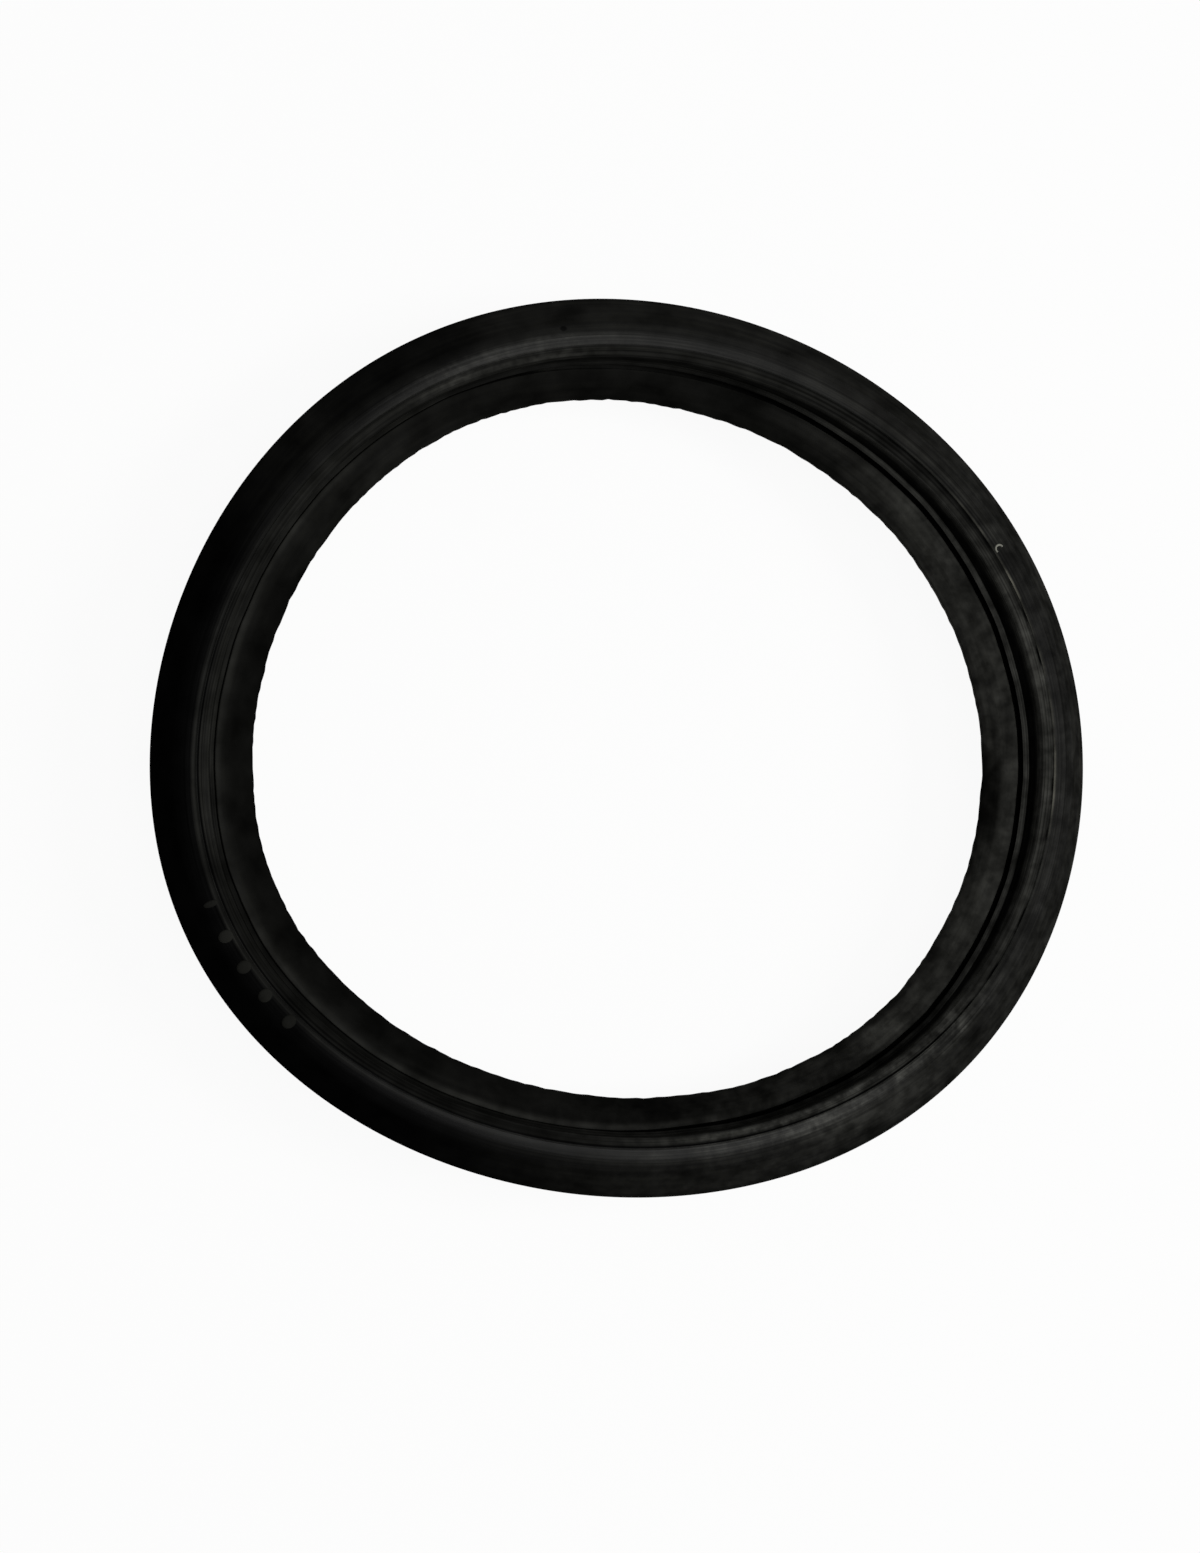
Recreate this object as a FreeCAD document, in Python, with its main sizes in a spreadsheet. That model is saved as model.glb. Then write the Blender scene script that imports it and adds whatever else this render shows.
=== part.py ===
import FreeCAD, Part
import math
import os

import Sketcher

# Triple lip gasket for a five inch pipe clamp coupling, in millimetres.
# One moulded rubber ring. It lies on its lower side face at z = 0, with its axis along +Z
# and the origin under the middle of its outline. Each side lip bears on a pipe end, and
# the centre lip fills the gap between the two ends, flush with the bore.
# The free ring is limp and lies a little out of round, as an egg on its side.

os.makedirs("parts", exist_ok=True)
doc = FreeCAD.newDocument("TripleLipGasket")

# The sizes are chained from the bore outwards and from the middle plane upwards, so each
# can be changed alone. "across" is along the radius and "high" along the axis.
DRIVING_SIZES = {
    "bore_diameter": 128.0,          # mean, over the tip of the centre lip
    "centre_lip": 5.05,              # from the tip to the step behind it, across
    "centre_lip_rise": 4.7,          # from the middle plane to the top of that step
    "centre_lip_fall": 18.0,         # slope of its top towards the bore, in degrees
    "centre_lip_round": 3.5,
    "centre_lip_draft": 22.0,        # lean of its bore face away from the middle, in degrees
    "centre_lip_step": 1.5,          # from its top down to the neck, high
    "lip_gap": 0.65,                 # open slot from the centre lip to the edge of a side lip, across
    "pocket_mouth": 2.0,             # from the neck to the edge of a side lip, high
    "pocket_floor": 3.3,             # flat bottom of the pressure pocket, high
    "back_wall": 5.5,                # from the pocket to the outside, across
    "lip_edge_reach": 0.8,           # how far the sealing edge stands in front of the lip's face
    "lip_edge_slope": 1.0,           # from the edge up to the face, high
    "lip_face": 5.3,                 # face that bears on the pipe, high
    "lip_face_lean": 0.1,            # how much wider the face is at its top, across
    "lead_in": 1.9,                  # bevel that guides the pipe end in, across
    "lead_in_drop": 1.0,             # the same bevel, high
    "side_face": 1.9,                # flat that rests against the coupling's flank, across
    "shoulder": 7.6,                 # from the side face to the outside, across
    "shoulder_round": 3.0,
    "back_round": 3.0,
    "back_band": 9.4,                # straight band round the outside, high
    "oval": 1.85,                    # how far the outline swells as an oval
    "oval_turn": -15.0,              # where that swell lies, in degrees
    "egg": 0.85,                     # how far it swells on one side as an egg
    "egg_turn": -33.0,
    "corners": 0.36,                 # how far it swells as four soft corners
    "corners_turn": 27.0,
}
SWELLS = (("oval", 2), ("egg", 3), ("corners", 4))

# The ring line runs where the centre lip's step is. It is a chain of arcs of equal turn.
ARCS = 12
ARC_TURN = 360.0 / ARCS


def arc_radius_formula(facing):
    """Radius of the arc whose middle faces the given turn, as a formula of the sheet.

    Where the outline swells by a cosine of order n, its radius of curvature swells by
    n * n - 1 times as much the other way, evened here over the turn of one arc. Each
    order cancels round the ring, so the chain closes."""
    formula = "bore_diameter / 2 + centre_lip"
    for name, order in SWELLS:
        half_turn = math.radians(order * ARC_TURN / 2)
        share = (order ** 2 - 1) * half_turn / math.sin(half_turn)
        formula += f" - {share:.6f} * {name} * cos({order} * ({facing} - {name}_turn) * 1deg)"
    return formula


DERIVED_SIZES = {
    "bore_radius": "bore_diameter / 2",
    "ring_line_radius": "bore_diameter / 2 + centre_lip",
    "half_height": "centre_lip_rise - centre_lip_step + pocket_mouth + lip_edge_slope"
                   " + lip_face + lead_in_drop",
    "half_band": "back_band / 2",
    "lip_top_turn": "180 + centre_lip_fall",
    "bore_face_turn": "270 - centre_lip_draft",
}
for n in range(ARCS):
    DERIVED_SIZES[f"arc_radius_{n + 1}"] = arc_radius_formula((n + 0.5) * ARC_TURN)

sheet = doc.addObject("Spreadsheet::Sheet", "Sizes")
for row, (name, value) in enumerate(DRIVING_SIZES.items(), start=1):
    sheet.set(f"A{row}", name)
    sheet.set(f"B{row}", str(value))
    sheet.setAlias(f"B{row}", name)
for row, (name, formula) in enumerate(DERIVED_SIZES.items(), start=1):
    sheet.set(f"D{row}", name)
    sheet.set(f"E{row}", f"={formula}")
    sheet.setAlias(f"E{row}", name)
doc.recompute()


def size(name):
    """Value of a cell of the sheet."""
    return float(getattr(sheet, name))


def point(across, up):
    """Point in the plane of a sketch."""
    return FreeCAD.Vector(across, up, 0)


def line(*ends):
    return Part.LineSegment(*ends)


def arc(centre, radius, first, last):
    circle = Part.Circle(centre, FreeCAD.Vector(0, 0, 1), radius)
    return Part.ArcOfCircle(circle, first, last)


def origin_plane(body, role):
    return next(item for item in body.Origin.OriginFeatures if item.Role == role)


def new_sketch(body, role, name):
    """Sketch on one of the body's own origin planes."""
    sketch = body.newObject("Sketcher::SketchObject", name)
    sketch.AttachmentSupport = [(origin_plane(body, role), "")]
    sketch.MapMode = "FlatFace"
    return sketch


def dimension(sketch, name, cell, kind, *where):
    """Dimension of a sketch, tied to a cell of the sheet."""
    index = sketch.addConstraint(Sketcher.Constraint(kind, *where, size(cell)))
    sketch.renameConstraint(index, name)
    sketch.setExpression(f"Constraints.{name}", f"Sizes.{cell}")


START, END, CENTRE = 1, 2, 3
ORIGIN = (-1, 1)
AXIS = -1

gasket = doc.addObject("PartDesign::Body", "Gasket")
gasket.Label = "gasket"

# Ring line, from the X axis and at right angles to it: tighter arcs at the ends of the
# oval, flatter ones along its sides, each tangent to the next.
ring_line = new_sketch(gasket, "XY_Plane", "RingLine")
centre = point(size("ring_line_radius") - size("arc_radius_1"), 0)
for n in range(ARCS):
    radius = size(f"arc_radius_{n + 1}")
    first = math.radians(n * ARC_TURN)
    last = math.radians((n + 1) * ARC_TURN)
    ring_line.addGeometry(arc(centre, radius, first, last))
    step = radius - size(f"arc_radius_{(n + 1) % ARCS + 1}")
    centre = centre + point(step * math.cos(last), step * math.sin(last))
dimension(ring_line, "start", "ring_line_radius", "DistanceX", *ORIGIN, 0, START)
ring_line.addConstraint(Sketcher.Constraint("PointOnObject", 0, START, AXIS))
ring_line.addConstraint(Sketcher.Constraint("PointOnObject", 0, CENTRE, AXIS))
for n in range(ARCS):
    dimension(ring_line, f"arc_{n + 1}", f"arc_radius_{n + 1}", "Radius", n)
    ring_line.addConstraint(Sketcher.Constraint("Angle", n, math.radians(ARC_TURN)))
for n in range(ARCS - 1):
    ring_line.addConstraint(Sketcher.Constraint("Tangent", n, END, n + 1, START))

# Section of the upper half: from the outside over the shoulder, the side face and the
# side lip, round the pressure pocket, and over the centre lip to its tip.
tip = size("bore_radius")
step_out = size("ring_line_radius")
rise = size("centre_lip_rise")
neck_up = rise - size("centre_lip_step")
edge = step_out + size("lip_gap")
edge_up = neck_up + size("pocket_mouth")
face = edge + size("lip_edge_reach")
face_up = edge_up + size("lip_edge_slope")
face_top = face + size("lip_face_lean")
face_top_up = face_up + size("lip_face")
seam = face_top + size("lead_in")
top = size("half_height")
side_outer = seam + size("side_face")
outside = side_outer + size("shoulder")
floor = outside - size("back_wall")
floor_up = neck_up + size("pocket_floor")

# The flank is the straight line that touches both the back's round and the shoulder's.
back_round = size("back_round")
shoulder_round = size("shoulder_round")
back_centre = point(outside - back_round, size("half_band"))
shoulder_centre = point(side_outer, top - shoulder_round)
between = shoulder_centre - back_centre
flank_turn = math.atan2(between.y, between.x) - math.acos((back_round - shoulder_round) / between.Length)
flank_side = point(math.cos(flank_turn), math.sin(flank_turn))

# The centre lip's round touches its sloping top and its bore face.
nose_round = size("centre_lip_round")
fall = math.radians(size("centre_lip_fall"))
draft = math.radians(size("centre_lip_draft"))
top_side = point(-math.sin(fall), math.cos(fall))
bore_side = point(-math.cos(draft), math.sin(draft))
top_offset = point(step_out, rise) * top_side - nose_round
bore_offset = point(tip, 0) * bore_side - nose_round
spread = top_side.x * bore_side.y - top_side.y * bore_side.x
nose_centre = point((top_offset * bore_side.y - bore_offset * top_side.y) / spread,
                    (bore_offset * top_side.x - top_offset * bore_side.x) / spread)

OUTLINE = {
    "back": line(point(outside, 0), point(outside, back_centre.y)),
    "back_round": arc(back_centre, back_round, 0, flank_turn),
    "flank": line(back_centre + back_round * flank_side, shoulder_centre + shoulder_round * flank_side),
    "shoulder": arc(shoulder_centre, shoulder_round, flank_turn, math.pi / 2),
    "side_face": line(point(side_outer, top), point(seam, top)),
    "lead_in": line(point(seam, top), point(face_top, face_top_up)),
    "lip_face": line(point(face_top, face_top_up), point(face, face_up)),
    "edge_slope": line(point(face, face_up), point(edge, edge_up)),
    "underside": line(point(edge, edge_up), point(floor, floor_up)),
    "floor": line(point(floor, floor_up), point(floor, neck_up)),
    "neck": line(point(floor, neck_up), point(step_out, neck_up)),
    "step": line(point(step_out, neck_up), point(step_out, rise)),
    "lip_top": line(point(step_out, rise), nose_centre + nose_round * top_side),
    "nose": arc(nose_centre, nose_round, math.pi / 2 + fall, math.pi - draft),
    "bore_face": line(nose_centre + nose_round * bore_side, point(tip, 0)),
    "middle": line(point(tip, 0), point(outside, 0)),
}
SMOOTH_JOINTS = ("back", "back_round", "flank", "shoulder", "lip_top", "nose")

section = new_sketch(gasket, "XZ_Plane", "UpperHalfSection")
side = {name: section.addGeometry(shape) for name, shape in OUTLINE.items()}
names = list(OUTLINE)
for one, other in zip(names, names[1:] + names[:1]):
    kind = "Tangent" if one in SMOOTH_JOINTS else "Coincident"
    section.addConstraint(Sketcher.Constraint(kind, side[one], END, side[other], START))
for where in (START, END):
    section.addConstraint(Sketcher.Constraint("PointOnObject", side["middle"], where, AXIS))
for name in ("side_face", "neck"):
    section.addConstraint(Sketcher.Constraint("Horizontal", side[name]))
for name in ("back", "floor", "step"):
    section.addConstraint(Sketcher.Constraint("Vertical", side[name]))


def start_of(name):
    return side[name], START


def end_of(name):
    return side[name], END


ROUNDS = (("centre_lip_round", "nose"), ("shoulder_round", "shoulder"), ("back_round", "back_round"))
ACROSS = (
    ("bore_radius", ORIGIN, start_of("middle")),
    ("centre_lip", end_of("bore_face"), start_of("lip_top")),
    ("lip_gap", start_of("step"), end_of("edge_slope")),
    ("lip_edge_reach", end_of("edge_slope"), end_of("lip_face")),
    ("lip_face_lean", end_of("lip_face"), start_of("lip_face")),
    ("lead_in", end_of("lead_in"), start_of("lead_in")),
    ("side_face", end_of("side_face"), start_of("side_face")),
    ("shoulder", start_of("side_face"), start_of("back")),
    ("back_wall", end_of("floor"), start_of("back")),
)
HIGH = (
    ("centre_lip_rise", end_of("bore_face"), start_of("lip_top")),
    ("centre_lip_step", start_of("step"), end_of("step")),
    ("pocket_mouth", end_of("neck"), end_of("edge_slope")),
    ("lip_edge_slope", end_of("edge_slope"), start_of("edge_slope")),
    ("lip_face", end_of("lip_face"), start_of("lip_face")),
    ("lead_in_drop", end_of("lead_in"), start_of("lead_in")),
    ("half_band", start_of("back"), end_of("back")),
    ("pocket_floor", end_of("floor"), start_of("floor")),
)
for name in ("lip_top", "bore_face"):
    turn = Sketcher.Constraint("Angle", side[name], math.radians(size(f"{name}_turn")))
    section.renameConstraint(section.addConstraint(turn), f"{name}_turn")
    section.setExpression(f"Constraints.{name}_turn", f"Sizes.{name}_turn * 1deg")
for cell, name in ROUNDS:
    dimension(section, f"radius_{cell}", cell, "Radius", side[name])
for cell, one, other in ACROSS:
    dimension(section, f"across_{cell}", cell, "DistanceX", *one, *other)
for cell, one, other in HIGH:
    dimension(section, f"high_{cell}", cell, "DistanceY", *one, *other)
doc.recompute()

upper_half = gasket.newObject("PartDesign::AdditivePipe", "UpperHalf")
upper_half.Profile = section
upper_half.Spine = ring_line
upper_half.Mode = "Standard"
doc.recompute()

# The lower half mirrors the upper one in the middle plane, where the mould parts.
gasket_halves = gasket.newObject("PartDesign::Mirrored", "BothHalves")
gasket_halves.Originals = [upper_half]
gasket_halves.MirrorPlane = (origin_plane(gasket, "XY_Plane"), [""])
gasket.Tip = gasket_halves
doc.recompute()

# The ring stands on its lower side face, with the middle of its outline over the origin.
outline_middle = ring_line.Shape.BoundBox.Center
gasket.Placement.Base = FreeCAD.Vector(-outline_middle.x, -outline_middle.y, 0)
gasket.setExpression("Placement.Base.z", "Sizes.half_height")
doc.recompute()

for item in doc.Objects:
    if "Invalid" in item.State or "Error" in item.State:
        raise RuntimeError(f"{item.Label} failed: {item.State}")
for sketch in (ring_line, section):
    if sketch.solve() != 0 or not sketch.FullyConstrained:
        raise RuntimeError(f"{sketch.Label} isn't fully set by its sizes")
if gasket.Shape.isNull() or not gasket.Shape.isValid() or len(gasket.Shape.Solids) != 1:
    raise RuntimeError("the gasket isn't one valid solid")
gasket.Shape.exportStep(f"parts/{gasket.Label}.step")
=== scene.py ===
import math

import bpy
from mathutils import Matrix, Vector


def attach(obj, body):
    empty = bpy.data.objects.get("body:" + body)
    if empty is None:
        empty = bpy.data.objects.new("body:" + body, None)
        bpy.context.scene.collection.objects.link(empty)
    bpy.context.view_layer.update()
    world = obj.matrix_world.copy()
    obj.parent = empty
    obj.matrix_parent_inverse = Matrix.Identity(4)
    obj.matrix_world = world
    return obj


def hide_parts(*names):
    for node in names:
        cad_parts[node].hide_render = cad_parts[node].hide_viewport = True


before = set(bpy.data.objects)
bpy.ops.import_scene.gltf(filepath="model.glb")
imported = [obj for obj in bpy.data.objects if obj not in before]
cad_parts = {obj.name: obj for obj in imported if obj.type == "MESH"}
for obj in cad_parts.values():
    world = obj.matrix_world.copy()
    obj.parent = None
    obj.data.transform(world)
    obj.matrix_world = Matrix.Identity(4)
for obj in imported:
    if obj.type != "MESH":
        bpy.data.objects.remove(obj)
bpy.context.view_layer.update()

# The gasket is one ring of black rubber, moulded in two halves that part at the middle plane.
# Its section is C-shaped: a thick back, two side lips that bear on the pipe ends, and a
# centre lip between them. The free ring is limp, so it lies a little out of round and rolled.
MM = 0.001
STEPS = 400                      # round the ring
LINE_RADIUS = 69.19              # ring line, at the step behind the centre lip, in mm
LINE_MIDDLE = (0.01, -0.84)      # of the ring line's own centre, from the middle of the outline
HALF_HEIGHT = 12.5
# The line swells as cosines: (name, times round the ring, mm, turn of a crest in degrees).
SWELLS = (("Oval", 2, 1.92, -16.8), ("Egg", 3, 0.8, -32.0), ("Corners", 4, 0.46, 29.7))
# The ring rolls inside out, most at its right and left: (name, times round, degrees, turn).
ROLLS = (("Roll", 0, 2.3, 0.0), ("Lean", 1, 1.6, 49.0), ("Twist", 2, 6.2, 14.2))
ROLL_PIVOT = 4.0                 # the section turns about this point, outwards from the ring line

# Corners of the upper half section: (across from the ring line, up from the middle, round).
CORNERS = (
    (12.3, 0.0, 0.0),            # back, at the parting plane
    (12.3, 5.75, 3.0),
    (6.55, 12.25, 3.0),          # shoulder, into the side face
    (3.62, 12.25, 0.12),         # flash on the mould's seam
    (3.55, 12.38, 0.05),
    (3.42, 12.38, 0.05),
    (3.32, 12.18, 0.1),          # lead-in for the pipe's end
    (1.55, 11.25, 0.3),          # face of the side lip
    (1.45, 5.95, 0.35),
    (0.65, 5.1, 0.15),           # sealing edge of the side lip
    (0.75, 4.95, 0.1),
    (7.45, 6.5, 1.0),            # pocket behind the side lip
    (7.45, 3.2, 1.0),
    (0.0, 3.2, 0.4),             # step behind the centre lip
    (0.0, 4.65, 0.22),
    (-2.25, 4.0, 3.0),           # top of the centre lip, down to the bore
    (-4.85, 0.35, 0.1),
    (-4.85, 0.12, 0.04),         # trimmed edge that the mould's parting left in the bore
    (-5.15, 0.1, 0.04),
    (-5.15, 0.0, 0.0),
)
ROUND_PARTS = 5                  # edges to a round
SMALL_ROUND = 0.2                # a round under this, in mm, has fewer parts
SMALL_ROUND_PARTS = 2
SUPPORT = 0.04                   # extra point this near each end of a round, in mm


def rounded(corners):
    """Points of the outline, with every corner rounded and held by a point at both sides."""
    points = [Vector(corners[0][:2])]
    for before, here, after in zip(corners, corners[1:], corners[2:]):
        corner = Vector(here[:2])
        radius = here[2]
        back = (Vector(before[:2]) - corner).normalized()
        ahead = (Vector(after[:2]) - corner).normalized()
        half = back.angle(ahead) / 2
        reach = radius / math.tan(half)
        middle = corner + (back + ahead).normalized() * radius / math.sin(half)
        first = corner + back * reach
        last = corner + ahead * reach
        points.append(first + back * SUPPORT)
        parts = SMALL_ROUND_PARTS if radius < SMALL_ROUND else ROUND_PARTS
        for i in range(parts + 1):
            spoke = (first - middle).normalized().slerp((last - middle).normalized(), i / parts)
            points.append(middle + spoke * radius)
        points.append(last + ahead * SUPPORT)
    points.append(Vector(corners[-1][:2]))
    return points


# The sweep lays the section upside down, so the lower half comes first here.
lower = [Vector((p.x, -p.y)) for p in rounded(CORNERS)]
upper = [Vector((p.x, -p.y)) for p in lower[-2:0:-1]]
outline = lower + upper
section = bpy.data.meshes.new("section")
section.from_pydata([(p.x * MM, -p.y * MM, 0.0) for p in outline],
                    [(i, (i + 1) % len(outline)) for i in range(len(outline))], [])
# Each point keeps its place on the section: across, up and along the outline, in mm.
places = section.attributes.new("place", "FLOAT_VECTOR", "POINT")
covered = 0.0
for i, p in enumerate(outline):
    if i:
        covered += (p - outline[i - 1]).length
    places.data[i].vector = (p.x, p.y, covered)
section_source = bpy.data.objects.new("section_source", section)
bpy.context.scene.collection.objects.link(section_source)

# The section is swept along the ring line. The line swells by cosines of the way that it
# faces, and the section turns with it.
sweep = bpy.data.node_groups.new("ring sweep", "GeometryNodeTree")
sweep.is_modifier = True
SIZES = [("Steps", "NodeSocketInt", STEPS), ("Line Radius", "NodeSocketFloat", LINE_RADIUS * MM)]
for rows, unit in ((SWELLS, MM), (ROLLS, math.radians(1))):
    for name, _, size, crest in rows:
        SIZES.append((name, "NodeSocketFloat", size * unit))
        SIZES.append((name + " Turn", "NodeSocketFloat", math.radians(crest)))
SIZES += [
    ("Middle", "NodeSocketVector", (LINE_MIDDLE[0] * MM, LINE_MIDDLE[1] * MM, HALF_HEIGHT * MM)),
    ("Pivot", "NodeSocketFloat", ROLL_PIVOT * MM),
    ("Wave", "NodeSocketFloat", 0.35 * MM),
    ("Ragged", "NodeSocketFloat", 0.3 * MM),
    ("Pull", "NodeSocketFloat", 0.5 * MM),
    ("Close", "NodeSocketFloat", 0.58 * MM),
    ("Pips", "NodeSocketInt", 5),
    ("First Pip", "NodeSocketFloat", 0.5605),      # this and the next two are shares of the ring line
    ("Pip Step", "NodeSocketFloat", 0.0128),
    ("Flake", "NodeSocketFloat", 0.0868),
    ("Section", "NodeSocketObject", section_source),
    ("Material", "NodeSocketMaterial", None),
]
sockets = {}
for name, kind, value in SIZES:
    sockets[name] = sweep.interface.new_socket(name, in_out="INPUT", socket_type=kind)
sweep.interface.new_socket("Ring", in_out="OUTPUT", socket_type="NodeSocketGeometry")
given = sweep.nodes.new("NodeGroupInput").outputs


def add(tree, kind, *inputs, output=0, **settings):
    """Adds a node with its settings and links, and gives one of its outputs. An input is a value or
    a source socket for its own place, or a dict of them by the names or places of the inputs."""
    made = tree.nodes.new(kind)
    for name, value in settings.items():
        setattr(made, name, value)
    filled = {}
    for spot, value in enumerate(inputs):
        filled.update(value if isinstance(value, dict) else {spot: value})
    for key, value in filled.items():
        if isinstance(value, bpy.types.NodeSocket):
            tree.links.new(value, made.inputs[key])
        else:
            made.inputs[key].default_value = value
    return made.outputs[output]


def fold(tree, operation, result, *others):
    """One number out of several, such as their sum, product or largest."""
    for other in others:
        result = add(tree, "ShaderNodeMath", result, other, operation=operation)
    return result


def swing(name, times_round, wave):
    """A size that goes up and down round the ring, as a sine or cosine from its own turn."""
    angle = fold(sweep, "MULTIPLY", fold(sweep, "SUBTRACT", turn, given[name + " Turn"]), float(times_round))
    return fold(sweep, "MULTIPLY", given[name], add(sweep, "ShaderNodeMath", angle, operation=wave))


turn = fold(sweep, "DIVIDE", add(sweep, "GeometryNodeInputIndex"), given["Steps"])
turn = fold(sweep, "MULTIPLY", turn, math.tau)
cosine = add(sweep, "ShaderNodeMath", turn, operation="COSINE")
sine = add(sweep, "ShaderNodeMath", turn, operation="SINE")
line_facing = add(sweep, "ShaderNodeCombineXYZ", cosine, sine)
# The line lies this far out, the way that it faces, and slides this far to the side of that.
reach = fold(sweep, "ADD", given["Line Radius"], given["Pivot"],
             *(swing(name, times_round, "COSINE") for name, times_round, _, _ in SWELLS))
slide = fold(sweep, "SUBTRACT", 0.0,
             *(fold(sweep, "MULTIPLY", swing(name, times_round, "SINE"), float(times_round))
               for name, times_round, _, _ in SWELLS))
line_x = fold(sweep, "SUBTRACT", fold(sweep, "MULTIPLY", reach, cosine), fold(sweep, "MULTIPLY", slide, sine))
line_y = fold(sweep, "ADD", fold(sweep, "MULTIPLY", reach, sine), fold(sweep, "MULTIPLY", slide, cosine))
line = add(sweep, "ShaderNodeCombineXYZ", line_x, line_y)
line = add(sweep, "ShaderNodeVectorMath", line, given["Middle"], operation="ADD")
tilt = fold(sweep, "ADD", 0.0, *(swing(name, times_round, "COSINE") for name, times_round, _, _ in ROLLS))

curve = add(sweep, "GeometryNodeCurvePrimitiveCircle", {"Resolution": given["Steps"], "Radius": 1.0},
            output="Curve")
curve = add(sweep, "GeometryNodeSetPosition", {"Geometry": curve, "Position": line})
curve = add(sweep, "GeometryNodeSetCurveNormal", {"Curve": curve}, mode="Z_UP")
curve = add(sweep, "GeometryNodeSetCurveTilt", {"Curve": curve, "Tilt": tilt})
curve = add(sweep, "GeometryNodeStoreNamedAttribute",
            {"Geometry": curve, "Name": "facing", "Value": line_facing},
            data_type="FLOAT_VECTOR", domain="POINT")
to_pivot = add(sweep, "ShaderNodeCombineXYZ", fold(sweep, "MULTIPLY", given["Pivot"], -1.0))
profile = add(sweep, "GeometryNodeObjectInfo", {"Object": given["Section"]}, output="Geometry")
profile = add(sweep, "GeometryNodeSetPosition", {"Geometry": profile, "Offset": to_pivot})
profile = add(sweep, "GeometryNodeMeshToCurve", {"Mesh": profile})
ring = add(sweep, "GeometryNodeCurveToMesh", {"Curve": curve, "Profile Curve": profile})

# The lips are a little wavy, and the trimmed edge of the bore is ragged: each is noise of a
# width, in mm, that is none and full at two places across the section.
ring_facing = add(sweep, "GeometryNodeInputNamedAttribute", {"Name": "facing"}, data_type="FLOAT_VECTOR")
ring_place = add(sweep, "GeometryNodeInputNamedAttribute", {"Name": "place"}, data_type="FLOAT_VECTOR")
ring_across, ring_up, _ = add(sweep, "ShaderNodeSeparateXYZ", ring_place).node.outputs
ring_from_middle = add(sweep, "ShaderNodeMath", ring_up, operation="ABSOLUTE")
offset = 0.0
for name, width, none, full in (("Wave", 14.0, 2.5, 1.0), ("Ragged", 1.6, -4.7, -5.0)):
    rough = add(sweep, "ShaderNodeTexNoise", {"Vector": ring_facing, "Scale": LINE_RADIUS / width})
    share = add(sweep, "ShaderNodeMapRange", ring_across, none, full, 0.0, 2.0)
    wander = fold(sweep, "MULTIPLY", fold(sweep, "SUBTRACT", rough, 0.5), share, given[name])
    offset = fold(sweep, "ADD", offset, wander)

# The lips are pulled outwards at the lower left, and the slot beside the centre lip is nearly
# closed all along the left: (name, turn that the ring faces there, none and full as cosines off
# that turn, limits on the section as (place, none, full)).
BORE_FADE = (ring_across, -4.8, -1.0)
MOVES = (
    ("Pull", 201.0, 0.3, 0.9, (BORE_FADE, (ring_across, 2.5, 1.4), (ring_from_middle, 7.0, 6.0))),
    ("Close", 187.0, -0.11, 0.26, (BORE_FADE, (ring_across, 0.5, 0.25))),
)
for name, degrees, least, most, limits in MOVES:
    way = (math.cos(math.radians(degrees)), math.sin(math.radians(degrees)), 0.0)
    near = add(sweep, "ShaderNodeVectorMath", ring_facing, way, operation="DOT_PRODUCT", output="Value")
    shares = [add(sweep, "ShaderNodeMapRange", value, none, full, 0.0, 1.0)
              for value, none, full in limits + ((near, least, most),)]
    offset = fold(sweep, "ADD", offset, fold(sweep, "MULTIPLY", given[name], *shares))
shift = add(sweep, "ShaderNodeVectorMath", {0: ring_facing, "Scale": offset}, operation="SCALE")
ring = add(sweep, "GeometryNodeSetPosition", {"Geometry": ring, "Offset": shift})

# Plain raised pips stand in a row on the shoulder at the left, and a torn flake of moulding
# flash stands on the seam at the right.
PIP_PLACE = (5.3, 12.2)          # across and up from the ring line, in mm
PIP_LEAN = 4.0                   # outwards, in degrees
PIP_SHAPE = (1.35, 1.15, 0.32)   # half width, half length along the ring and height, in mm
FIRST_PIP = 0.6                  # half length of the first one
PIP_DUST = 0.2                   # how worn it looks, where the flake is 1
FLAKE_PLACE = (4.6, 12.3)
FLAKE_CURL = 0.7                 # radius of its curl, in mm
FLAKE_BEND = 210.0               # how far it curls, in degrees
FLAKE_THICK = 0.2                # half of its thickness, in mm


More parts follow.
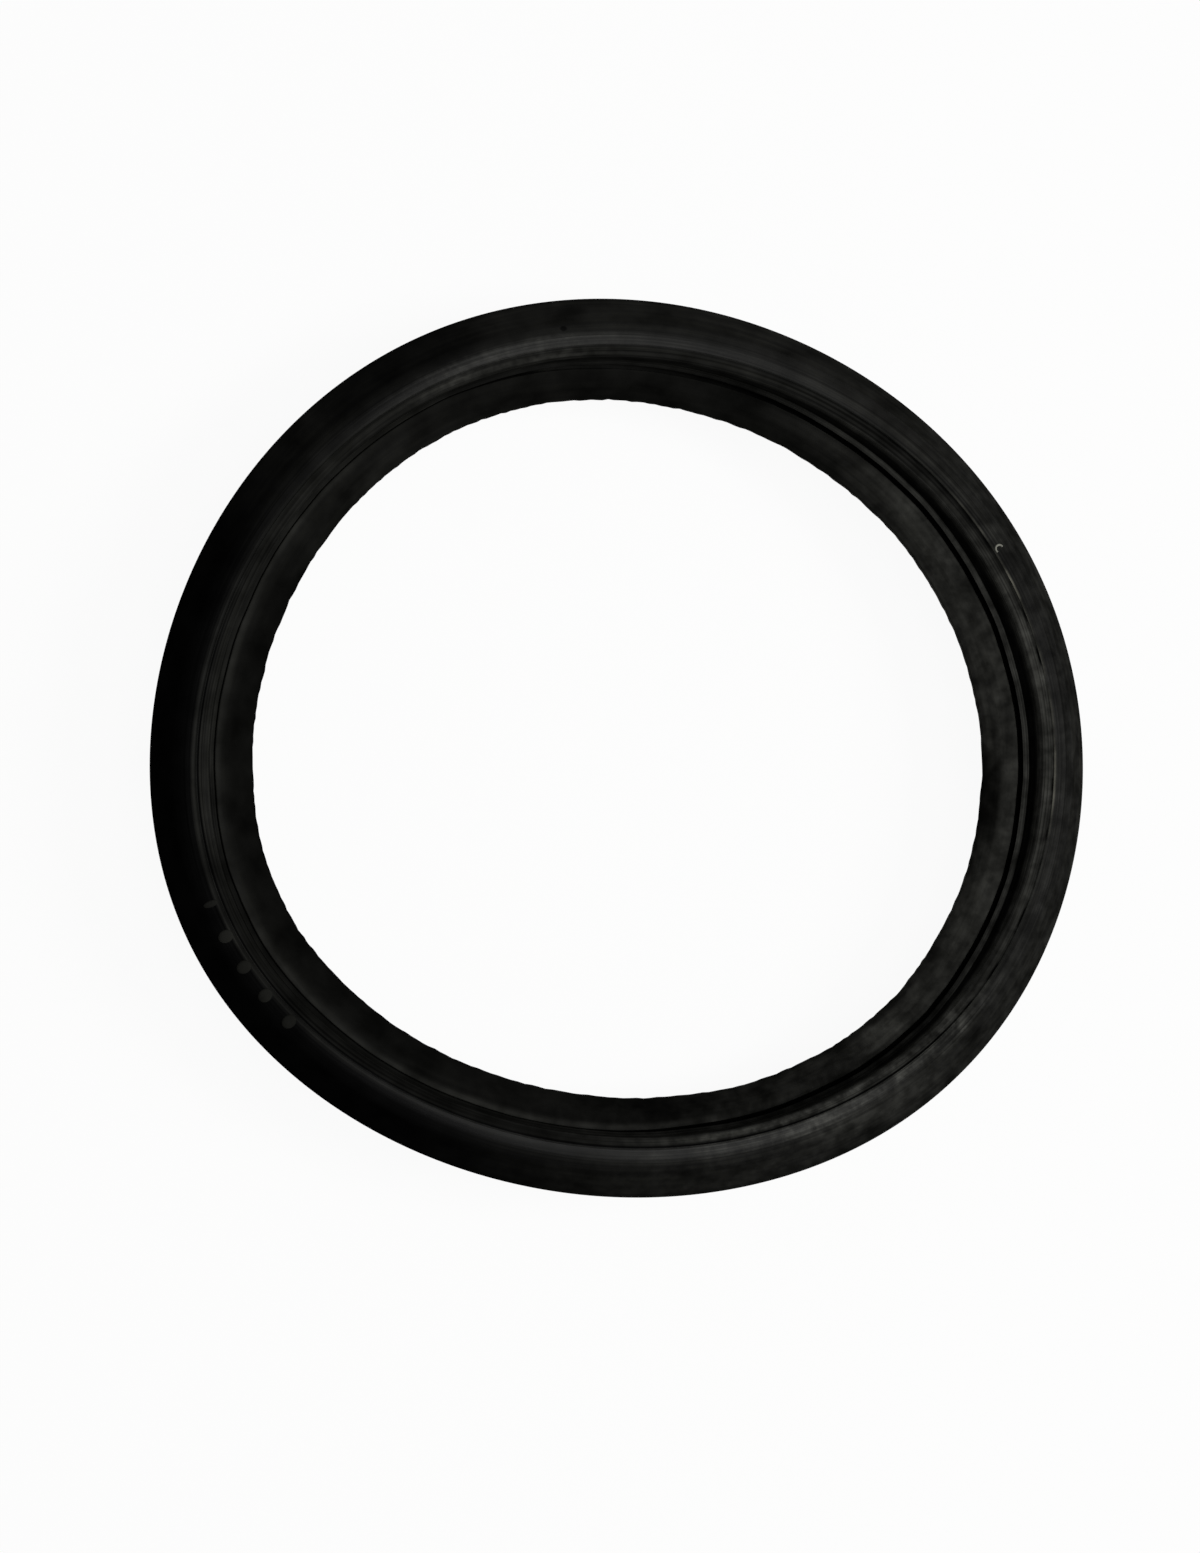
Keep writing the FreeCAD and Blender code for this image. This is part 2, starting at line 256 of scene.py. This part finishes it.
def on_ring(item, count, start, step, site, lean, scale, wear):
    """Copies of an item in a row on the ring, which lean outwards by a number of degrees."""
    factor = fold(sweep, "ADD", start, fold(sweep, "MULTIPLY", number, step))
    sample = add(sweep, "GeometryNodeSampleCurve", {"Curves": curve, "Factor": factor}, mode="FACTOR",
                 use_all_curves=True).node.outputs
    outward = sample["Normal"]
    upward = add(sweep, "ShaderNodeVectorMath", outward, sample["Tangent"], operation="CROSS_PRODUCT")
    spot = sample["Position"]
    for way, far in ((outward, (site[0] - ROLL_PIVOT) * MM), (upward, site[1] * MM)):
        move = add(sweep, "ShaderNodeVectorMath", {0: way, "Scale": far}, operation="SCALE")
        spot = add(sweep, "ShaderNodeVectorMath", spot, move, operation="ADD")
    tip = add(sweep, "ShaderNodeVectorMath", {0: outward, "Scale": math.tan(math.radians(lean))},
              operation="SCALE")
    tip = add(sweep, "ShaderNodeVectorMath", upward, tip, operation="ADD")
    turned = add(sweep, "FunctionNodeAxesToRotation", tip, sample["Tangent"],
                 primary_axis="Z", secondary_axis="Y")
    points = add(sweep, "GeometryNodePoints", {"Count": count, "Position": spot})
    placed = add(sweep, "GeometryNodeInstanceOnPoints",
                 {"Points": points, "Instance": item, "Rotation": turned, "Scale": scale})
    placed = add(sweep, "GeometryNodeRealizeInstances", placed)
    return add(sweep, "GeometryNodeStoreNamedAttribute", {"Geometry": placed, "Name": "worn", "Value": wear},
               data_type="FLOAT", domain="POINT")


number = add(sweep, "GeometryNodeInputIndex")
dome = add(sweep, "GeometryNodeMeshUVSphere", {"Segments": 16, "Rings": 8, "Radius": 1.0 * MM}, output="Mesh")
half_length = fold(sweep, "MINIMUM", PIP_SHAPE[1], fold(sweep, "ADD", FIRST_PIP, number))
pip_scale = add(sweep, "ShaderNodeCombineXYZ", PIP_SHAPE[0], half_length, PIP_SHAPE[2])
pips = on_ring(dome, given["Pips"], given["First Pip"], given["Pip Step"], PIP_PLACE, PIP_LEAN, pip_scale,
               PIP_DUST)
curl = add(sweep, "GeometryNodeCurveArc",
           {"Resolution": 12, "Radius": FLAKE_CURL * MM, "Sweep Angle": math.radians(FLAKE_BEND)},
           mode="RADIUS", output="Curve")
thread = add(sweep, "GeometryNodeCurvePrimitiveCircle", {"Resolution": 6, "Radius": FLAKE_THICK * MM},
             output="Curve")
curl = add(sweep, "GeometryNodeCurveToMesh", {"Curve": curl, "Profile Curve": thread, "Fill Caps": True})
flake = on_ring(curl, 1, given["Flake"], 0.0, FLAKE_PLACE, 0.0, (1.0, 1.0, 1.0), 1.0)
ring = add(sweep, "GeometryNodeJoinGeometry", ring)
for raised_piece in (pips, flake):
    sweep.links.new(raised_piece, ring.node.inputs[0])
ring = add(sweep, "GeometryNodeSetShadeSmooth", {0: ring, "Shade Smooth": True})
ring = add(sweep, "GeometryNodeRealizeInstances", ring)
ring = add(sweep, "GeometryNodeSetMaterial", {0: ring, "Material": given["Material"]})
sweep.links.new(ring, sweep.nodes.new("NodeGroupOutput").inputs[0])

# Moulded black rubber is nearly black and satin, with faint streaks along the ring that the mould left, and
# pale dust clings to it. Painted light and painted shade are mixed into its colour as well.
rubber = bpy.data.materials.new("Moulded black rubber")
rubber.use_nodes = True
look = rubber.node_tree
shader = look.nodes["Principled BSDF"]
shader.inputs["IOR"].default_value = 1.52
object_spot = add(look, "ShaderNodeTexCoord", output="Object")
facing = add(look, "ShaderNodeAttribute", attribute_name="facing", output="Vector")
facing_x, facing_y, _ = add(look, "ShaderNodeSeparateXYZ", facing).node.outputs
place = add(look, "ShaderNodeAttribute", attribute_name="place", output="Vector")
across, up, along = add(look, "ShaderNodeSeparateXYZ", place).node.outputs
from_middle = add(look, "ShaderNodeMath", up, operation="ABSOLUTE")
MEAN_RADIUS = 75.0               # of the shoulder, which sets how long the streaks are, in mm


def linear(hex_colour):
    """Linear colour of an sRGB colour that is written in hex."""
    parts = [int(hex_colour[i:i + 2], 16) / 255 for i in (1, 3, 5)]
    return [v / 12.92 if v <= 0.04045 else ((v + 0.055) / 1.055) ** 2.4 for v in parts] + [1.0]


def streaks(length, width, detail):
    """Noise that is drawn out along the ring, with lengths and widths in mm."""
    scales = ((facing_x, MEAN_RADIUS / length), (facing_y, MEAN_RADIUS / length), (along, 1 / width))
    drawn_out = [fold(look, "MULTIPLY", way, scale) for way, scale in scales]
    drawn_out = add(look, "ShaderNodeCombineXYZ", *drawn_out)
    return add(look, "ShaderNodeTexNoise", {"Vector": drawn_out, "Scale": 1.0, "Detail": detail})


def mottle(width, detail):
    """Even noise, with its width in mm."""
    return add(look, "ShaderNodeTexNoise",
               {"Vector": object_spot, "Scale": 1 / (width * MM), "Detail": detail})


def zone(strength, turns, *limits):
    """Mask of a zone with soft edges. turns holds the way that the ring faces in its middle, and how
    far off that way none of it is left and all of it is there, in degrees. Each limit is (value,
    where none is left, where all is there), such as a place on the section in mm."""
    if turns:
        middle, none, full = (math.radians(angle) for angle in turns)
        near = add(look, "ShaderNodeVectorMath", facing, (math.cos(middle), math.sin(middle), 0.0),
                   operation="DOT_PRODUCT", output="Value")
        limits = ((near, math.cos(none), math.cos(full)),) + limits
    edges = [add(look, "ShaderNodeMapRange", value, none, full, 0.0, 1.0, interpolation_type="SMOOTHSTEP")
             for value, none, full in limits]
    return fold(look, "MULTIPLY", *edges, strength)


# Where noise goes into a map, its own low and high come first, and then what they turn into.
long_streaks = streaks(30.0, 0.9, 3.0)
cloud = mottle(7.0, 4.0)
ALL_ROUND = None
LEFT = (200.0, 78.0, 38.0)
BACK = (across, 4.0, 4.8)
LIP_ROOT = (across, 0.4, 0.2)
SIDE_FACE = ((across, 6.4, 5.4), (across, 1.5, 2.2))
LIP_FACE = ((3.0, 75.0, 45.0), (across, 1.38, 1.44), (across, 1.8, 1.6))

# Painted shade darkens the back nearly to black at the left and in a patch near the top. Painted shade also
# darkens the tip of the centre lip at the left, at the top and at the bottom.
painted_back_shade = fold(look, "MAXIMUM", zone(1.0, LEFT, BACK), zone(0.65, (121.0, 17.0, 3.0), BACK))
painted_tip_shade = fold(look, "MAXIMUM", zone(1.0, LEFT, (across, -0.4, -2.8)),
                 zone(0.65, (90.0, 45.0, 20.0), (across, 0.2, -0.4)),
                 zone(0.8, (258.0, 28.0, 12.0), (across, -0.4, -1.4)))

# Pale colour on the centre lip, in the lead-in and high on the lip face at the right is painted light, and
# two mottled pale patches on the side face, at the top-left and the bottom-right, are painted highlight. Thin
# pale dust lies at the root of the centre lip all round, less at the top and more at the lower left, and pale
# dust lies in a patch on the lip and on the back at the lower right.
highlight_mottle = add(look, "ShaderNodeMapRange", mottle(1.6, 3.0), 0.38, 0.62, 0.35, 1.6)
less_at_top = add(look, "ShaderNodeMapRange", zone(1.0, (90.0, 60.0, 30.0)), 0.0, 1.0, 1.0, 0.2)
more_at_foot = add(look, "ShaderNodeMapRange", zone(1.0, (238.0, 35.0, 15.0)), 0.0, 1.0, 1.0, 1.5)
dust_and_painted_light = fold(look, "MAXIMUM",
            zone(0.9, (0.0, 72.0, 20.0), (across, -7.5, -0.4), LIP_ROOT),
            fold(look, "MULTIPLY", zone(0.16, ALL_ROUND, (across, -1.6, -0.4), LIP_ROOT),
                 less_at_top, more_at_foot),
            zone(1.0, (313.0, 12.0, 4.0), (across, -5.0, -3.5), (across, -0.2, -1.2)),
            zone(0.7, (0.0, 38.0, 12.0), (across, 3.5, 3.3), (across, 1.6, 2.0)),
            zone(0.6, *LIP_FACE, (from_middle, 8.6, 11.6)),
            fold(look, "MULTIPLY", zone(0.42, (300.0, 35.0, 8.0), *SIDE_FACE), highlight_mottle),
            fold(look, "MULTIPLY", zone(0.21, (105.0, 22.0, 4.0), *SIDE_FACE), highlight_mottle),
            zone(0.3, (301.0, 15.0, 5.0), (across, 10.5, 8.0), (across, 5.0, 6.0)))
uneven = add(look, "ShaderNodeMapRange", fold(look, "ADD", long_streaks, cloud), 0.75, 1.25, 0.6, 1.3)
dust_and_painted_light = fold(look, "MULTIPLY", dust_and_painted_light, uneven)

# Painted light lightens the sealing edge of the upper side lip at the right.
painted_edge_light = zone(1.0, (15.0, 60.0, 20.0),
                 (across, 0.4, 0.6), (across, 1.5, 1.4), (up, 4.86, 5.05), (up, 6.1, 5.9))

# Painted shade darkens the lead-in at the lower left, and the centre lip is darker in a patch at the right.
# Painted shade also darkens the slot and pocket beside the centre lip at the right, and the lip faces low
# down.
lead_shade = zone(0.8, (228.0, 42.0, 18.0), (across, 3.3, 2.9), (across, 0.5, 0.8))
darker_lip_patch = zone(0.75, (355.0, 9.0, 4.0), (across, -1.8, -3.2))
deep_shade = fold(look, "MAXIMUM",
                  zone(1.0, (350.0, 105.0, 70.0),
                       (across, -0.05, 0.05), (across, 8.0, 7.6), (from_middle, 5.0, 4.7)),
                  zone(0.8, *LIP_FACE, (from_middle, 10.4, 7.6)))

# Painted shade draws a thin dark line in the crease inside the seam, broken at the right and faint near the
# top, and the flash on the seam is worn pale in places at the right.
faint_at_top = add(look, "ShaderNodeMapRange", zone(1.0, (108.0, 62.0, 38.0)), 0.0, 1.0, 1.0, 0.3)
gaps = add(look, "ShaderNodeMapRange", streaks(5.0, 40.0, 3.0), 0.4, 0.62, 0.15, 1.0,
           interpolation_type="SMOOTHSTEP")
broken = add(look, "ShaderNodeMix", {0: zone(1.0, (10.0, 60.0, 45.0)), 2: 1.0, 3: gaps})
seam_shade = fold(look, "MULTIPLY", zone(1.0, ALL_ROUND, (across, 3.02, 3.2), (across, 3.44, 3.38)),
                  faint_at_top, broken)
pale = fold(look, "MAXIMUM",
            zone(0.55, (358.5, 6.5, 3.0)), zone(0.95, (26.6, 3.2, 1.4)), zone(0.25, (15.0, 35.0, 10.0)))
flash = zone(pale, ALL_ROUND, (across, 3.4, 3.46), (across, 4.0, 3.7), (streaks(9.0, 40.0, 2.0), 0.35, 0.55))

# A small pit on the shoulder at the top is painted in as a dark spot of painted shade, with no hollow in the
# shape.
PIT = Vector((-12.04, 73.2, 24.43)) * MM
from_pit = add(look, "ShaderNodeVectorMath", object_spot, PIT, operation="DISTANCE", output="Value")
pit = zone(0.9, ALL_ROUND, (from_pit, 0.75 * MM, 0.4 * MM))

# The pips are a little dusty, and the torn flake is pale.
worn = add(look, "ShaderNodeAttribute", attribute_name="worn", output="Fac")
on_pips = add(look, "ShaderNodeMapRange", worn, 0.0, 0.1, 0.0, 1.0)
on_flake = add(look, "ShaderNodeMapRange", worn, 0.5, 1.0, 0.0, 1.0)

base_mix = add(look, "ShaderNodeMapRange", long_streaks, 0.35, 0.7, 0.0, 1.0)
colour = linear("#151514")
for amount, tint in (
    (base_mix, "#1b1b19"),
    (painted_back_shade, "#050505"),
    (painted_tip_shade, "#0c0c0b"),
    (dust_and_painted_light, "#383835"),
    (lead_shade, "#0a0a09"),
    (darker_lip_patch, "#0a0a09"),
    (painted_edge_light, "#3c3c39"),
    (deep_shade, "#040404"),
    (seam_shade, "#060606"),
    (flash, "#504f48"),
    (pit, "#030303"),
    (on_pips, "#1a1a18"),
    (on_flake, "#72726a"),
):
    colour = add(look, "ShaderNodeMix", {0: amount, 6: colour, 7: linear(tint)}, output=2, data_type="RGBA")

# Blotches lie all over, small scuffs at the right, and thin lines along the ring near the seam.
blotches = add(look, "ShaderNodeMapRange", mottle(6.0, 5.0), 0.32, 0.68, 0.6, 1.4)
thin_lines = add(look, "ShaderNodeMapRange", streaks(45.0, 0.3, 2.0), 0.35, 0.65, 0.55, 1.45)
near_seam = zone(1.0, ALL_ROUND, (across, 7.5, 5.5), (across, 0.6, 1.2))
thin_lines = add(look, "ShaderNodeMix", {0: near_seam, 2: 1.0, 3: thin_lines})
scuffs = add(look, "ShaderNodeMapRange", mottle(2.2, 4.0), 0.35, 0.65, 0.68, 1.32)
scuffs = add(look, "ShaderNodeMix", {0: zone(1.0, (335.0, 95.0, 50.0)), 2: 1.0, 3: scuffs})
shade = fold(look, "MULTIPLY", blotches, thin_lines, scuffs)
colour = add(look, "ShaderNodeVectorMath", {0: colour, "Scale": shade}, operation="SCALE")
look.links.new(colour, shader.inputs["Base Color"])

# The crest of the shoulder is rubbed smooth at the top and the bottom, where it has a soft shine.
sideways = add(look, "ShaderNodeMath", facing_y, operation="ABSOLUTE")
shine = add(look, "ShaderNodeMapRange", sideways, 0.7, 0.99, 0.012, 0.06, interpolation_type="SMOOTHSTEP")
# Less shine where the back has painted shade.
less_on_painted_shade = add(look, "ShaderNodeMapRange", painted_back_shade, 0.0, 1.0, 1.0, 0.6)
crest = zone(1.0, ALL_ROUND, (across, 8.0, 4.6), (across, 3.2, 3.6))
polish = fold(look, "MULTIPLY", crest, shine, less_on_painted_shade)
look.links.new(polish, shader.inputs["Specular IOR Level"])
look.links.new(add(look, "ShaderNodeMapRange", cloud, 0.3, 0.7, 0.3, 0.4), shader.inputs["Roughness"])
grain = add(look, "ShaderNodeBump", {"Strength": 0.35, "Distance": 0.05 * MM, "Height": mottle(0.5, 2.0)})
mould_lines = add(look, "ShaderNodeBump",
                  {"Strength": 0.35, "Distance": 0.08 * MM, "Height": long_streaks, "Normal": grain})
look.links.new(mould_lines, shader.inputs["Normal"])

carrier = bpy.data.objects.new("gasket_ring", bpy.data.meshes.new("ring seed"))
bpy.context.scene.collection.objects.link(carrier)
modifier = carrier.modifiers.new("sweep", "NODES")
modifier.node_group = sweep
for name, _, value in SIZES:
    modifier[sockets[name].identifier] = rubber if name == "Material" else value
bpy.context.view_layer.update()
graph = bpy.context.evaluated_depsgraph_get()
ring_mesh = bpy.data.meshes.new_from_object(carrier.evaluated_get(graph), preserve_all_data_layers=True,
                                            depsgraph=graph)
carrier.modifiers.remove(modifier)
carrier.data = ring_mesh
bpy.data.objects.remove(section_source)
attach(carrier, "root")
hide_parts("gasket")

# The stage is a pale studio floor in plain soft light. The floor and the world look white to the
# camera and in reflections, and the floor still takes a faint shadow.
FLOOR_HALF = 20.0                # in metres
FLOOR_COLOUR = "#d8d8d6"
FLOOR_SHADOW = 0.06              # share of the shadow that shows
WHITE = (1.0, 1.0, 1.0, 1.0)
WORLD_FILL = 0.25                # the world's light on the ring, against its look to the camera


def seen_share(tree):
    """1 for a ray that shows the stage to the camera, straight or mirrored, and 0 for one that lights
    the ring."""
    ray = add(tree, "ShaderNodeLightPath").node.outputs
    return fold(tree, "MAXIMUM", ray["Is Camera Ray"], ray["Is Glossy Ray"], ray["Is Transmission Ray"])


floor_material = bpy.data.materials.new("Pale studio floor")
floor_material.use_nodes = True
floor_tree = floor_material.node_tree
floor_tree.nodes.clear()
plain = add(floor_tree, "ShaderNodeBsdfDiffuse", {"Color": linear(FLOOR_COLOUR)})
white = add(floor_tree, "ShaderNodeEmission", {"Color": WHITE, "Strength": 1.0})
white_share = fold(floor_tree, "MULTIPLY", seen_share(floor_tree), 1.0 - FLOOR_SHADOW)
surface = add(floor_tree, "ShaderNodeMixShader", white_share, plain, white)
floor_tree.links.new(surface, floor_tree.nodes.new("ShaderNodeOutputMaterial").inputs["Surface"])
floor_mesh = bpy.data.meshes.new("floor")
corners = ((-FLOOR_HALF, -FLOOR_HALF, 0.0), (FLOOR_HALF, -FLOOR_HALF, 0.0),
           (FLOOR_HALF, FLOOR_HALF, 0.0), (-FLOOR_HALF, FLOOR_HALF, 0.0))
floor_mesh.from_pydata(corners, [], [(0, 1, 2, 3)])
floor_mesh.materials.append(floor_material)
floor = bpy.data.objects.new("floor", floor_mesh)
bpy.context.scene.collection.objects.link(floor)

world = bpy.data.worlds.new("studio")
bpy.context.scene.world = world
world.use_nodes = True
background = world.node_tree.nodes["Background"]
background.inputs["Color"].default_value = WHITE
world.node_tree.links.new(fold(world.node_tree, "MAXIMUM", seen_share(world.node_tree), WORLD_FILL),
                          background.inputs["Strength"])

# Two soft square lamps face the ring: (name, place in m, width in m, watts). The key stands at
# the right, and the top one gives the shoulder its shine.
AIM = Vector((-3.95, -4.9, 12.5)) * MM
for name, site, width, watts in (("key", (0.8, 0.0, 0.8), 0.4, 8.6), ("top", (0.1, 0.0, 1.1), 0.5, 3.3)):
    light = bpy.data.lights.new(name, "AREA")
    light.shape = "SQUARE"
    light.size = width
    light.energy = watts
    lamp = bpy.data.objects.new(name, light)
    bpy.context.scene.collection.objects.link(lamp)
    lamp.location = site
    lamp.rotation_euler = (Vector(site) - AIM).to_track_quat("Z", "Y").to_euler()

# The camera looks down on the ring from a little to the left, as in the photo.
CAMERA_DISTANCE = 0.6
CAMERA_TILT = math.radians(8.0)
VIEW_WIDTH = 0.2136              # across the picture, at the middle of the ring
SENSOR = 36.0
lens = bpy.data.cameras.new("camera")
lens.sensor_fit = "HORIZONTAL"
lens.sensor_width = SENSOR
lens.lens = SENSOR * CAMERA_DISTANCE / VIEW_WIDTH
camera = bpy.data.objects.new("camera", lens)
bpy.context.scene.collection.objects.link(camera)
camera.location = AIM + Vector((-math.sin(CAMERA_TILT), 0.0, math.cos(CAMERA_TILT))) * CAMERA_DISTANCE
camera.rotation_euler = (0.0, -CAMERA_TILT, 0.0)
bpy.context.scene.camera = camera
bpy.context.scene.view_settings.view_transform = "Standard"
